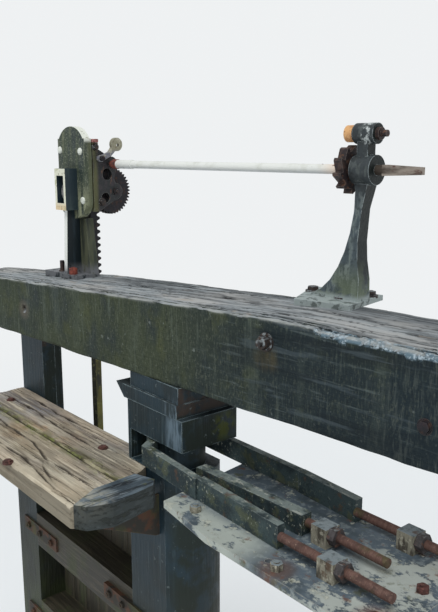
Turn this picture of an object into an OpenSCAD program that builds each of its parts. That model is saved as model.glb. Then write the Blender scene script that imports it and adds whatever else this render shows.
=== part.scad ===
/* [Levels] */
// Height of the lock coping above the foot of the pintle
coping_z = 3000; // [2600:10:3400]
// Underside of the balance beam above the coping
beam_under = 390; // [380:5:440]
// Top of the balance beam above the coping, at the heel and beyond
beam_top = 780; // [760:5:820]
// Fall of the beam's top towards the mitre, in millimetres per metre
beam_fall = 44; // [30:1:50]

/* [Gate leaf] */
// Distance from the heel axis to the nose of the mitre post
leaf_reach = 1560; // [1540:5:1600]
// Angle in plan between the leaf and its balance beam
leaf_drift = 4.5; // [4:0.5:5]
// Angle of the mitre face to the square, in degrees
mitre_angle = 16; // [10:1:20]
// Height of the paddle opening
port_h = 390; // [300:10:400]
// Width of the paddle opening
port_w = 310; // [260:10:320]

/* [Balance beam] */
// Reach of the beam beyond the heel axis, towards the handle end
beam_reach = 3000; // [2000:50:3400]
// Width of the beam in plan
beam_w = 450; // [440:5:460]
// Width of the chamfer along the beam's front edge
chamfer = 22; // [10:1:30]

/* [Paddle gear] */
// Module of the rack and its pinion
rack_module = 12; // [12:1:12]
// Teeth on the rack pinion
rack_pinion_teeth = 8; // [8:1:8]
// Module of the spur gears
spur_module = 6; // [6:1:6]
// Teeth on the large gear wheel
wheel_teeth = 40; // [40:1:40]
// Teeth on the spindle pinion
spindle_pinion_teeth = 10; // [10:1:10]
// Turns of the spindle that open the paddle fully
spindle_turns = 6; // [6:1:6]
// Teeth on the ratchet wheel
ratchet_teeth = 10; // [10:1:10]

/* [Anchorage] */
// Diameter of the tie rods
tie_rod_d = 35; // [30:1:36]

/* [Hidden] */
$fn = 64;
eps = 0.01;
gap = 5;

timber_dark = "darkslategray";
timber_worn = "rosybrown";
iron_dark = "#2c3a3e";
iron_rust = "saddlebrown";
paint_white = "ivory";

// Heel post, which turns about the origin. Leaf parts are set out along and across the leaf.
post_front = -163;
post_rear = 150;
heel_r = 190;
neck_r = 122;
head_u0 = -190;
head_u1 = 235;
horn_t = 22;
horn_rear = 40;
body_top = coping_z - 45;
neck_top = coping_z + 105;
head_top = coping_z + 250;
slab_h = 65;
slab_overhang = 90;
beam_z = coping_z + beam_under;

// Pintle and the pot that runs on it
pintle_r = 55;
pintle_rise = 110;
pintle_dome = 20;
pot_clear = 1;
pot_lift = 0.5;
pot_wall_r = 105;
foot_h = 45;
post_bottom = foot_h + 60;

// Leaf frame
mitre_inner = -1265;
mitre_rear = 95;
mitre_neck_front = -60;
rebate = 60;
rail_front = -150;
rail_rear = 20;
sheath_t = 37;
leaf_bottom = 110;
iron_t = 12;

// Walkway
walk_top = coping_z - 50;
walk_t = 100;
walk_seam = -342;
walk_front = -632;
top_rail_h = 230;

// Gear train
rod_x = -985;
rod_wx = 44;
rod_t = 38;
rack_pitch = PI * rack_module;
rack_pinion_r = rack_module * rack_pinion_teeth / 2;
wheel_r = spur_module * wheel_teeth / 2;
spindle_pinion_r = spur_module * spindle_pinion_teeth / 2;
spur_centres = wheel_r + spindle_pinion_r;
gear_y = 306;
gear_z = coping_z + 1174;
spindle_y = 280;
spindle_z = gear_z + sqrt(pow(spur_centres, 2) - pow(gear_y - spindle_y, 2));
rack_line_y = gear_y - rack_pinion_r;
lift = spindle_turns * 2 * PI * spindle_pinion_r / wheel_r * rack_pinion_r;
press_angle = 25;
rack_add = 8.5;
rack_ded = 11;
rack_back_y = 205;
rack_top = gear_z + 90;
rack_bottom = gear_z - lift - 70;
shaft_r = 20;
journal_r = 17;
fit = 0.1;

// Paddle, whose rod hangs from the rack in line with the beam
rod_y = rack_back_y + rod_t / 2;
paddle_u = rod_x * cos(leaf_drift) - rod_y * sin(leaf_drift);
port_z = 410;
frame_t = 30;
frame_lap = 45;
seat_v = rail_rear + sheath_t;
paddle_v = seat_v + frame_t + gap;
paddle_t = 32;
paddle_lap = 45;
paddle_w = port_w + 2 * paddle_lap;
paddle_h = port_h + 2 * paddle_lap;
guide_t = 22;
guide_lip = 30;

// Gear case
cheek_t = 12;
cheek_x = [rod_x - 62, rod_x + 33];
wheel_x0 = rod_x + 47;
wheel_t = 40;
bracket_x0 = rod_x + 99;
bracket_t = 26;
bracket_x1 = bracket_x0 + bracket_t;
roller_r = 70;
roller_flange_r = 78;
roller_y = rack_back_y - roller_r - 1;
roller_w = 56;
roller_flange_t = 4;
roller_pin_r = 12;
roller_pin_end = 60;
window_w = roller_w + 12;
plate_y0 = 107;
plate_t = 45;
plate_back = plate_y0 + plate_t;
plate_w = 250;
plate_top = coping_z + 1520;
plate_shoulder = coping_z + 1456;
arch_w = 226;
arch_r = (pow(arch_w / 2, 2) + pow(plate_top - plate_shoulder, 2)) / 2 / (plate_top - plate_shoulder);
plate_bottom = coping_z + 1030;
plate_foot_h = 90;
box_w = 100;
box_proud = 77;
box_lip = 20;
box_z0 = gear_z - 95;
box_h = 220;
column_rear = 192;
column_web = 28;
column_flange = 50;

// Spindle and pedestal
spindle_r = 20;
ped_x = 800;
ped_y = 290;
ped_top = coping_z + beam_top + 22;
sweep_x = 238;
sweep_z = 440;
ratchet_x0 = 706;
ratchet_t = 39;
ratchet_r = 95;
ratchet_depth = 20;
ratchet_phase = 7;
pawl_z = spindle_z + 138;
pawl_pin_r = 13;
finger_low = 4;
boss_x0 = 752;
boss_x1 = 848;
peg_r = 9;
catch_x0 = bracket_x1 + 3;
catch_y = 200;
catch_z = coping_z + 1352;
catch_pin_r = 8;

// Anchorage, set out along and across the leaf at rest
collar_r = 124;
strap_t = 32;
strap_z = coping_z + 4;
strap_h = 90;
bar_h = strap_h + 3;
rear_lap = 665;
front_lap = 450;
rear_bar_end = 990;
front_bar_end = 940;
channel_end = 930;
lug = 72;
rod_rise = 46;
rod_vs = [-256, -105, 98];
lug_us = [1148, 980, 1205];
rod_starts = [front_bar_end, channel_end, rear_bar_end];
rod_ends = [1434, 1299, 1480];
bed_bolts = [[522, -315], [975, -345], [1427, -330], [1427, -90]];
bolt_r = 14;

function beam_top_at(x) = coping_z + beam_top - max(0, (700 - x)) * beam_fall / 1000;

// Turns a child from along-and-across-the-leaf into the frame of the beam
module leaf_frame() {
    rotate([0, 0, -leaf_drift]) children();
}

// A flat outline in Y and Z, given depth along X
module along_x(x0, depth) {
    translate([x0, 0, 0]) rotate([90, 0, 90]) linear_extrude(depth) children();
}

// A flat outline in X and Z, given depth along Y
module along_y(y0, depth) {
    translate([0, y0 + depth, 0]) rotate([90, 0, 0]) linear_extrude(depth) children();
}

// A flat outline in plan, raised from z0
module raised(z0, height) {
    translate([0, 0, z0]) linear_extrude(height) children();
}

// A round bar along X
module bar_x(x0, x1, y, z, r) {
    translate([x0, y, z]) rotate([0, 90, 0]) cylinder(h = x1 - x0, r = r);
}

// A box given by its low and high corners
module block(low, high) {
    translate(low) cube(high - low);
}

// A hexagon of the given width across flats
module hex(across) {
    circle(r = across / sqrt(3), $fn = 6);
}

function involute(base, a) = [base * (cos(a) + a * PI / 180 * sin(a)),
                              base * (sin(a) - a * PI / 180 * cos(a))];
function turned(p, a) = [p.x * cos(a) - p.y * sin(a), p.x * sin(a) + p.y * cos(a)];
function flank_angle(base, r) = r <= base ? 0 : sqrt(pow(r / base, 2) - 1) * 180 / PI;

// A spur gear outline centred on a tooth, with play taken off each flank
module gear_outline(m, teeth, add, ded, play) {
    pitch = m * teeth / 2;
    base = pitch * cos(press_angle);
    tip = pitch + add;
    root = pitch - ded;
    inv_pitch = tan(press_angle) * 180 / PI - press_angle;
    half = 90 / teeth - play / pitch * 90 / PI + inv_pitch;
    start = flank_angle(base, max(base, root));
    finish = flank_angle(base, tip);
    steps = 4;
    tooth = [for (i = [0:steps]) turned(involute(base, start + (finish - start) * i / steps), -half)];
    foot = turned([root, 0], -half - 1);
    union() {
        circle(r = root + eps);
        for (t = [0:teeth - 1]) rotate(t * 360 / teeth)
            polygon(concat([[root - 3, foot.y], foot], tooth,
                [for (i = [steps:-1:0]) [tooth[i].x, -tooth[i].y]],
                [[foot.x, -foot.y], [root - 3, -foot.y]]));
    }
}

module bed_plate() color("slategray") leaf_frame() raised(coping_z - 30, 30) difference() {
    polygon([[290, 190], [370, -360], [700, -408], [1500, -408], [1500, 190]]);
    for (p = bed_bolts) translate(p) circle(r = bolt_r);
}

// U strap round the neck of the heel post, with a limb on each side
module collar_strap() color(iron_dark) leaf_frame() raised(strap_z, strap_h) {
    difference() {
        circle(r = collar_r + strap_t);
        circle(r = collar_r);
        translate([0, -collar_r - strap_t]) square(2 * (collar_r + strap_t));
    }
    translate([-eps, 0])
        polygon([[0, collar_r + strap_t], [0, collar_r], [rear_lap, 118], [rear_lap, 150]]);
    polygon([[-30, -152], [0, -collar_r - eps], [50, -196],
        [front_lap, -228], [front_lap, -260], [20, -229]]);
}

// Bars between the strap's limbs and the tie rods
module strap_bars() color(iron_dark) leaf_frame() raised(coping_z, bar_h) {
    polygon([[rear_lap, 117], [rear_lap, 154], [rear_bar_end, 133], [rear_bar_end, 96]]);
    polygon([[front_lap, -213], [front_lap, -250], [front_bar_end, -272], [front_bar_end, -237]]);
}

// Inverted channel over the middle tie rod
module middle_channel() color(iron_dark) leaf_frame() difference() {
    raised(coping_z, strap_h - 6)
        polygon([[345, -118], [345, -171], [channel_end, -139], [channel_end, -86]]);
    raised(coping_z - 1, strap_h - 22) polygon([[344, -126], [344, -163], [channel_end - 40, -133],
        [channel_end - 40, -96]]);
}

module tie_rods() color(iron_rust) leaf_frame()
    for (i = [0:2]) bar_x(rod_starts[i], rod_ends[i], rod_vs[i], coping_z + rod_rise, tie_rod_d / 2);

module tie_rod_lugs() color("dimgray") leaf_frame()
    for (i = [0:2]) difference() {
        raised(coping_z, lug + 2) translate([lug_us[i], rod_vs[i] - lug / 2]) square(lug);
        bar_x(lug_us[i] - 1, lug_us[i] + lug + 1, rod_vs[i], coping_z + rod_rise, tie_rod_d / 2);
    }

module tie_rod_nuts() color(iron_rust) leaf_frame()
    for (i = [0:2]) along_x(lug_us[i] + lug, 30)
        translate([rod_vs[i], coping_z + rod_rise]) difference() {
            hex(62);
            circle(r = tie_rod_d / 2);
        }

module pintle() color(iron_dark) difference() {
    union() {
        block([-190, -150, 0], [190, 150, foot_h - 10]);
        cylinder(h = foot_h, r = 100);
        cylinder(h = pintle_rise - pintle_dome, r = pintle_r);
        translate([0, 0, pintle_rise - pintle_dome]) rotate_extrude() intersection() {
            scale([1, pintle_dome / pintle_r]) circle(r = pintle_r);
            square([pintle_r, pintle_dome]);
        }
    }
    for (x = [-155, 155]) for (y = [-115, 115]) translate([x, y, -1]) cylinder(h = foot_h, r = bolt_r);
}

module heel_pot() color(iron_dark) difference() {
    union() {
        translate([0, 0, foot_h + gap]) cylinder(h = post_bottom - foot_h - gap, r = heel_r - 4);
        translate([0, 0, post_bottom]) cylinder(h = 85, r = pot_wall_r);
    }
    translate([0, 0, foot_h]) cylinder(h = pintle_rise + pot_lift - foot_h, r = pintle_r + pot_clear);
}

// The post's outline below the collar, rounded on the heel side
module heel_outline() {
    intersection() {
        union() {
            circle(r = heel_r);
            translate([head_u0, post_front]) square([-head_u0, post_rear - post_front]);
        }
        translate([head_u0, post_front]) square([heel_r - head_u0, post_rear - post_front]);
    }
}

module heel_post() color(timber_dark) leaf_frame() difference() {
    union() {
        raised(post_bottom, body_top - post_bottom) heel_outline();
        raised(body_top - eps, neck_top - body_top + 2 * eps) circle(r = neck_r);
        block([head_u0, post_front, neck_top], [head_u1, post_rear, head_top]);
        block([head_u0, post_front, body_top - eps], [head_u0 + horn_t, horn_rear, neck_top + eps]);
    }
    raised(post_bottom - 1, 87) circle(r = pot_wall_r + 1);
}

// Cap whose mitre end runs out into a sloping nose
module heel_cap_slab() color(timber_dark) leaf_frame()
    along_y(post_front - 4, post_rear - post_front + 8)
    polygon([[head_u0 - 25, head_top], [head_u1 - 33, head_top], [head_u1 - 33, head_top + slab_h],
        [head_u0 - slab_overhang, head_top + slab_h]]);

module heel_packing() color(timber_dark) leaf_frame()
    block([head_u0 + 16, post_front + 8, head_top + slab_h], [head_u1 - 37, post_rear, beam_z]);

// Plan of the mitre post with its front at the given place
module mitre_outline(front) {
    polygon([[-leaf_reach - front * tan(mitre_angle), front], [mitre_inner, front],
        [mitre_inner, rail_rear], [mitre_inner - rebate, rail_rear], [mitre_inner - rebate, mitre_rear],
        [-leaf_reach - mitre_rear * tan(mitre_angle), mitre_rear]]);
}

module mitre_post() color(timber_dark) leaf_frame() union() {
    raised(leaf_bottom - 40, walk_top - walk_t - leaf_bottom + 40) mitre_outline(rail_front);
    raised(walk_top - walk_t - eps, beam_z - walk_top + walk_t + eps) mitre_outline(mitre_neck_front);
}

// A rail between the two posts
module rail(z, h) {
    leaf_frame() block([mitre_inner, rail_front, z], [head_u0, rail_rear, z + h]);
}

module bottom_rail() color(timber_dark) rail(leaf_bottom, 280);
module lower_rail() color(timber_dark) rail(820, 230);
module middle_rail() color(timber_dark) rail(1420, 220);
module upper_rail() color(timber_dark) rail(2020, 210);
module top_rail() color(timber_worn) rail(walk_top - walk_t - top_rail_h, top_rail_h);

module sheathing() color(timber_dark) leaf_frame() difference() {
    block([mitre_inner - rebate, rail_rear, leaf_bottom], [head_u0, seat_v, walk_top - walk_t]);
    block([paddle_u - port_w / 2, rail_rear - 1, port_z],
        [paddle_u + port_w / 2, seat_v + 1, port_z + port_h]);
}

// Wrought straps that tie each rail to the posts, on the downstream face
module rail_irons() color(iron_dark) leaf_frame()
    for (z = [leaf_bottom + 140, 935, 1530, 2125]) {
        block([mitre_inner - 150, rail_front - iron_t, z - 40], [mitre_inner + 260, rail_front, z + 40]);
        block([head_u0 - 260, post_front - iron_t, z - 40], [head_u0 + 120, post_front, z + 40]);
        block([head_u0 - 260, post_front - eps, z - 40], [head_u0 - eps, rail_front, z + 40]);
    }

module paddle_frame() color(iron_dark) leaf_frame() difference() {
    block([paddle_u - port_w / 2 - frame_lap, seat_v, port_z - frame_lap],
        [paddle_u + port_w / 2 + frame_lap, seat_v + frame_t, port_z + port_h + frame_lap]);
    block([paddle_u - port_w / 2, seat_v - 1, port_z],
        [paddle_u + port_w / 2, seat_v + frame_t + 1, port_z + port_h]);
}

// Channels that keep the paddle against its frame all the way up
module paddle_guides() color(iron_dark) leaf_frame()
    for (side = [-1, 1]) translate([paddle_u, 0, 0]) scale([side, 1, 1]) {
        lip_v = paddle_v + paddle_t + gap;
        block([paddle_w / 2 + gap, seat_v, port_z - frame_lap],
            [paddle_w / 2 + gap + guide_t, lip_v + 15, port_z + 1000]);
        block([paddle_w / 2 + gap - guide_lip, lip_v, port_z - frame_lap],
            [paddle_w / 2 + gap + eps, lip_v + 15, port_z + 1000]);
    }

// Two boards with a seam between them
module walkway_plank() color(timber_worn) leaf_frame() raised(walk_top - walk_t, walk_t) {
    polygon([[-1530, mitre_neck_front], [head_u0, mitre_neck_front], [head_u0, post_front],
        [-45, post_front], [-3, -255], [4, walk_seam], [-1515, walk_seam]]);
    polygon([[-1513, walk_seam - 6], [4, walk_seam - 6], [12, -471], [92, -620], [80, walk_front],
        [-1460, walk_front]]);
}

// Blackened block that closes the heel end of the walkway
module walkway_end_piece() color("dimgray") leaf_frame() raised(walk_top - walk_t, walk_t + 8)
    polygon([[92, -620], [12, -471], [4, walk_seam], [-3, -255], [102, -218], [148, -259],
        [186, -486], [142, -591]]);

// Triangular brackets under the walkway, given by place, root and reach
module walkway_brackets() color(iron_dark) leaf_frame()
    for (b = [[-1050, rail_front, -600], [-350, rail_front, -600], [40, post_front, -560]])
        along_x(b.x, 14) translate([0, walk_top - walk_t])
        polygon([[b.y, 0], [b.z, 0], [b.z, -25], [b.y - 20, -200], [b.y, -200]]);

module balance_beam() color(timber_dark) difference() {
    front = -158;
    rear = front + beam_w;
    mitre_end = -1770;
    raised(beam_z, beam_top - beam_under) polygon([[mitre_end, front], [beam_reach, front],
        [beam_reach, rear - 90], [1700, rear], [-750, rear], [mitre_end, 130]]);
    along_y(front - 1, beam_w + 2) polygon([[mitre_end - 10, beam_top_at(mitre_end - 10)],
        [700, coping_z + beam_top], [700, coping_z + beam_top + 10],
        [mitre_end - 10, coping_z + beam_top + 10]]);
    along_y(front - 1, beam_w + 2) polygon([[1700, beam_z - 1], [beam_reach + 1, beam_z - 1],
        [beam_reach + 1, beam_z + 90]]);
    along_x(750, beam_reach) translate([front, coping_z + beam_top])
        polygon([[-1, 1], [chamfer + 1, 1], [-1, -chamfer - 1]]);
    block([rod_x - rod_wx / 2 - 12, rack_back_y - 10, beam_z - 1],
        [rod_x + rod_wx / 2 + 12, rear, beam_z + 500]);
}

// Cast column that carries the rack's gear
module rack_column() color(iron_dark) difference() {
    base = beam_top_at(rod_x - 210);
    union() {
        block([rod_x - 205, 40, base - 5], [rod_x + 108, column_rear, beam_top_at(rod_x) + 24]);
        along_x(rod_x - column_web / 2, column_web) polygon([[43, base], [49, base + 130],
            [58, plate_bottom], [60, box_z0], [plate_y0, box_z0], [plate_y0, plate_bottom],
            [plate_back, plate_bottom], [plate_back, gear_z - 92], [column_rear, gear_z - 92],
            [column_rear, base]]);
        along_y(column_rear - column_flange, column_flange) polygon([[rod_x - 104, base],
            [rod_x + 104, base], [rod_x + 62, plate_bottom], [rod_x - 62, plate_bottom]]);
    }
    along_y(0, 400) polygon([[rod_x - 300, beam_top_at(rod_x - 300)],
        [rod_x + 300, beam_top_at(rod_x + 300)],
        [rod_x + 300, coping_z], [rod_x - 300, coping_z]]);
}

module gear_front_plate() color(iron_dark) difference() {
    along_y(plate_y0, plate_t) union() {
        translate([rod_x - plate_w / 2, plate_bottom + plate_foot_h])
            square([plate_w, plate_shoulder - plate_bottom - plate_foot_h]);
        intersection() {
            translate([rod_x, plate_top - arch_r]) circle(r = arch_r);
            translate([rod_x - arch_w / 2, plate_shoulder - eps]) square([arch_w, arch_w]);
        }
        translate([rod_x, plate_bottom + plate_foot_h]) scale([1, 2 * plate_foot_h / plate_w])
            circle(r = plate_w / 2);
    }
    block([rod_x - window_w / 2, plate_y0 - 1, gear_z - 88],
        [rod_x + window_w / 2, plate_back + 1, gear_z + 88]);
    bar_x(rod_x - roller_pin_end - 1, rod_x + roller_pin_end + 1, roller_y, gear_z, roller_pin_r + fit);
}

// Raised frame in front of the guide roller
module roller_box() color(paint_white) difference() {
    front = plate_y0 - box_proud;
    block([rod_x - box_w / 2, front, box_z0], [rod_x + box_w / 2, plate_y0, box_z0 + box_h]);
    block([rod_x - window_w / 2, front + box_lip, gear_z - 83],
        [rod_x + window_w / 2, plate_y0 + 1, gear_z + 88]);
    block([rod_x - 32, front - 1, gear_z - 58], [rod_x + 32, front + box_lip + 1, gear_z + 88]);
}

// The two cheeks of the rack case, which carry the gear shaft and the spindle
module gear_cheeks() color(iron_dark)
    for (x = cheek_x) difference() {
        along_x(x, cheek_t) union() {
            translate([plate_back, gear_z - 105]) square([70, 380]);
            translate([gear_y, gear_z]) circle(r = 42);
            translate([plate_back, gear_z - 42]) square([gear_y - plate_back, 84]);
            translate([spindle_y, spindle_z]) circle(r = 34);
            translate([plate_back, spindle_z - 34]) square([spindle_y - plate_back, 68]);
        }
        bar_x(x - 1, x + cheek_t + 1, gear_y, gear_z, shaft_r + fit);
        bar_x(x - 1, x + cheek_t + 1, spindle_y, spindle_z, journal_r + fit);
    }

// Outboard bracket with its two round openings, on a web behind the front plate
module bearing_bracket() color(iron_dark) union() {
    block([cheek_x[1] + cheek_t, plate_back, coping_z + 1075],
        [bracket_x0 + eps, plate_back + 22, coping_z + 1433]);
    along_x(bracket_x0, bracket_t) difference() {
        union() {
            translate([0, coping_z]) polygon([[160, 1070], [196, 1070], [262, 1108], [306, 1130],
                [306, 1218], [296, 1240], [316, 1322], [280, 1362], [252, 1366], [226, 1384],
                [196, 1400], [196, 1436], [160, 1436]]);
            translate([gear_y, gear_z]) circle(r = 44);
            translate([spindle_y, spindle_z]) circle(r = 40);
        }
        translate([gear_y, gear_z]) circle(r = shaft_r + fit);
        translate([spindle_y, spindle_z]) circle(r = journal_r + fit);
        translate([250, coping_z + 1268]) circle(r = 31);
        translate([236, coping_z + 1142]) circle(r = 27);
    }
}

module catch_pin() color(iron_dark) union() {
    bar_x(bracket_x1, bracket_x1 + 26, catch_y, catch_z, catch_pin_r);
    along_x(bracket_x1 + 26 - eps, 12) translate([catch_y, catch_z]) hex(26);
}

module locking_catch() color("tan") difference() {
    along_x(catch_x0, 20) translate([catch_y, catch_z]) union() {
        circle(r = 18);
        translate([104, 74]) circle(r = 36);
        polygon([[-4, 14], [8, -12], [64, 12], [104, 50], [84, 74], [52, 34]]);
    }
    bar_x(catch_x0 - 1, catch_x0 + 21, catch_y, catch_z, catch_pin_r + fit);
    bar_x(catch_x0 - 1, catch_x0 + 21, catch_y + 110, catch_z + 70, 9);
}

// Cast pedestal that holds the handle end of the spindle
module pedestal() color(iron_dark) difference() {
    foot = coping_z + beam_top;
    union() {
        raised(foot - 12, 34) polygon([[580, 122], [824, 168], [790, 449], [450, 408]]);
        intersection() {
            along_y(ped_y - 80, 160) polygon(concat(
                [[ped_x + 3, ped_top - 10], [ped_x + 2, ped_top + 87], [ped_x - 10, ped_top + 160],
                    [ped_x - 14, ped_top + 238], [ped_x - 2, ped_top + 368],
                    [ped_x + 36, spindle_z], [boss_x0 + 3, spindle_z]],
                [for (i = [0:8]) let (a = i * 90 / 8)
                    [ped_x - 34 - sweep_x * (1 - cos(a)), ped_top + sweep_z * (1 - sin(a))]],
                [[ped_x - 34 - sweep_x, ped_top - 10]]));
            along_x(ped_x - 400, 600) polygon([[ped_y - 42, ped_top - 12], [ped_y + 42, ped_top - 12],
                [ped_y + 36, ped_top + 150], [ped_y + 29, ped_top + 368], [ped_y + 36, spindle_z],
                [ped_y - 36, spindle_z], [ped_y - 29, ped_top + 368], [ped_y - 36, ped_top + 150]]);
        }
        bar_x(boss_x0 + 3, boss_x1, spindle_y, spindle_z, 58);
        bar_x(boss_x0, boss_x1, spindle_y, pawl_z, 40);
        block([ped_x - 30, spindle_y - 26, spindle_z], [ped_x + 20, spindle_y + 26, pawl_z]);
        bar_x(ratchet_x0, ped_x + 20, spindle_y + 66, pawl_z + finger_low - peg_r, peg_r);
        block([ped_x - 30, spindle_y, pawl_z - 18], [ped_x + 20, spindle_y + 72, pawl_z + 2]);
    }
    bar_x(boss_x0 - 1, boss_x1 + 1, spindle_y, spindle_z, spindle_r + fit);
    bar_x(boss_x0 - 1, boss_x1 + 1, spindle_y, pawl_z, pawl_pin_r);
    along_y(0, 600) polygon([[ped_x - 400, foot - 100], [ped_x + 200, foot - 100], [ped_x + 200, foot],
        [700, foot], [ped_x - 400, beam_top_at(ped_x - 400)]]);
}

module pawl_pin() color(iron_rust) union() {
    bar_x(ratchet_x0 - 4, boss_x1 + 42, spindle_y, pawl_z, pawl_pin_r);
    bar_x(boss_x1, boss_x1 + 16, spindle_y, pawl_z, 24);
}

module paddle() color(timber_dark) leaf_frame()
    block([paddle_u - paddle_w / 2, paddle_v, port_z - paddle_lap],
        [paddle_u + paddle_w / 2, paddle_v + paddle_t, port_z - paddle_lap + paddle_h]);

// Bar down to the paddle, with its lower end scribed to the paddle's face
module paddle_rod() color(iron_rust) difference() {
    rod_foot = port_z + port_h / 2;
    union() {
        block([rod_x - rod_wx / 2, rack_back_y, rod_foot],
            [rod_x + rod_wx / 2, rack_back_y + rod_t, rack_bottom]);
        block([rod_x - rod_wx / 2, rack_back_y - 12, rod_foot],
            [rod_x + rod_wx / 2, rack_back_y + eps, port_z + port_h + paddle_lap]);
    }
    leaf_frame() block([paddle_u - paddle_w / 2, paddle_v, rod_foot - 1],
        [paddle_u + paddle_w / 2, paddle_v + paddle_t, rack_bottom + 1]);
}

module rack() color(iron_dark) union() {
    half = rack_pitch / 4 - 0.4;
    lean = tan(press_angle);
    teeth = floor((rack_top - rack_bottom - rack_pitch) / rack_pitch);
    first = gear_z - rack_pitch * floor((gear_z - rack_bottom - rack_pitch / 2) / rack_pitch);
    block([rod_x - rod_wx / 2, rack_back_y, rack_bottom],
        [rod_x + rod_wx / 2, rack_line_y - rack_ded, rack_top]);
    for (i = [0:teeth]) along_x(rod_x - rod_wx / 2, rod_wx)
        translate([rack_line_y, first + i * rack_pitch])
        polygon([[-rack_ded - 1, -half - (rack_ded + 1) * lean], [rack_add, -half + rack_add * lean],
            [rack_add, half - rack_add * lean], [-rack_ded - 1, half + (rack_ded + 1) * lean]]);
}

module gear_shaft() color(iron_dark) union() {
    bar_x(cheek_x[0] - 2, bracket_x1 + 12, gear_y, gear_z, shaft_r);
    along_x(rod_x - rod_wx / 2 - 2, rod_wx + 4) translate([gear_y, gear_z])
        rotate(180 / rack_pinion_teeth)
        gear_outline(rack_module, rack_pinion_teeth, rack_add, rack_ded, 0.4);
}

module gear_wheel() color(iron_dark)
    along_x(wheel_x0, wheel_t) translate([gear_y, gear_z]) difference() {
        gear_outline(spur_module, wheel_teeth, spur_module, 1.25 * spur_module, 0.3);
        circle(r = shaft_r);
    }

// The pinion's tooth gap faces the wheel's nearest tooth
module spindle_pinion() color(iron_dark)
    along_x(wheel_x0 - 2, wheel_t + 4) translate([spindle_y, spindle_z]) difference() {
        line = atan2(spindle_z - gear_z, spindle_y - gear_y);
        wheel_pitch = 360 / wheel_teeth;
        past_tooth = line - wheel_pitch * floor(line / wheel_pitch);
        rotate(line + 180 + past_tooth * wheel_teeth / spindle_pinion_teeth + 180 / spindle_pinion_teeth)
            gear_outline(spur_module, spindle_pinion_teeth, spur_module, 1.25 * spur_module, 0.3);
        circle(r = journal_r);
    }

// Long spindle from the gear case to the pedestal, with a tapered square for the windlass
module spindle() color(paint_white) union() {
    square_x0 = ped_x + 84;
    square_x1 = ped_x + 247;
    bar_x(cheek_x[1] - 2, bracket_x1 + 30, spindle_y, spindle_z, journal_r);
    bar_x(bracket_x1 + 24, bracket_x1 + 60, spindle_y, spindle_z, 26);
    bar_x(bracket_x1 + 60, bracket_x1 + 190, spindle_y, spindle_z, 23);
    bar_x(bracket_x1 + 190, square_x0, spindle_y, spindle_z, spindle_r);
    intersection() {
        along_y(spindle_y - 30, 60) polygon([[square_x0, spindle_z - 21], [square_x1, spindle_z - 14],
            [square_x1, spindle_z + 14], [square_x0, spindle_z + 21]]);
        raised(spindle_z - 30, 60) polygon([[square_x0, spindle_y - 21], [square_x1, spindle_y - 14],
            [square_x1, spindle_y + 14], [square_x0, spindle_y + 21]]);
    }
}

module ratchet_outline() {
    circle(r = ratchet_r - ratchet_depth);
    for (t = [0:ratchet_teeth - 1]) rotate(t * 360 / ratchet_teeth + ratchet_phase)
        polygon([[0, 0], turned([ratchet_r, 0], 0), turned([ratchet_r, 0], 7),
            turned([ratchet_r - ratchet_depth + 3, 0], 26),
            turned([ratchet_r - ratchet_depth - 1, 0], 36)]);
}

module ratchet_wheel() color(iron_dark)
    along_x(ratchet_x0, ratchet_t) translate([spindle_y, spindle_z]) difference() {
        ratchet_outline();
        circle(r = spindle_r);
    }

module guide_roller() color(iron_dark)
    translate([rod_x, roller_y, gear_z]) rotate([0, 90, 0]) rotate_extrude() {
    groove = roller_w / 2 - roller_flange_t;
    polygon(concat(
        [[0, roller_pin_end], [roller_pin_r, roller_pin_end], [roller_pin_r, roller_w / 2],
            [roller_flange_r, roller_w / 2], [roller_flange_r, groove], [roller_r, groove - 1]],
        [[roller_r, 1 - groove], [roller_flange_r, -groove], [roller_flange_r, -roller_w / 2],
            [roller_pin_r, -roller_w / 2], [roller_pin_r, -roller_pin_end], [0, -roller_pin_end]]));
}

module pawl_outline() {
    circle(r = 33);
    polygon([[0, finger_low], [100, finger_low + 2], [106, 34], [98, 38], [84, 19], [0, 22]]);
}

module pawl() color("tan")
    along_x(ratchet_x0 + 2, 36) translate([spindle_y, pawl_z]) difference() {
        pawl_outline();
        circle(r = pawl_pin_r + fit);
    }

pintle();
bed_plate();
collar_strap();
strap_bars();
middle_channel();
tie_rods();
tie_rod_nuts();
tie_rod_lugs();
heel_pot();
heel_post();
heel_cap_slab();
heel_packing();
mitre_post();
bottom_rail();
lower_rail();
middle_rail();
upper_rail();
top_rail();
sheathing();
rail_irons();
paddle_frame();
paddle_guides();
walkway_plank();
walkway_end_piece();
walkway_brackets();
balance_beam();
rack_column();
gear_front_plate();
roller_box();
gear_cheeks();
bearing_bracket();
catch_pin();
pedestal();
pawl_pin();
paddle();
paddle_rod();
rack();
gear_shaft();
gear_wheel();
spindle();
spindle_pinion();
ratchet_wheel();
guide_roller();
pawl();
locking_catch();
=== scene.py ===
# Canal lock gate leaf with its paddle gear: weathered timber, painted iron, fixings, light and camera
import math
import random

import bpy
import bmesh
from mathutils import Matrix, Vector, noise


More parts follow.
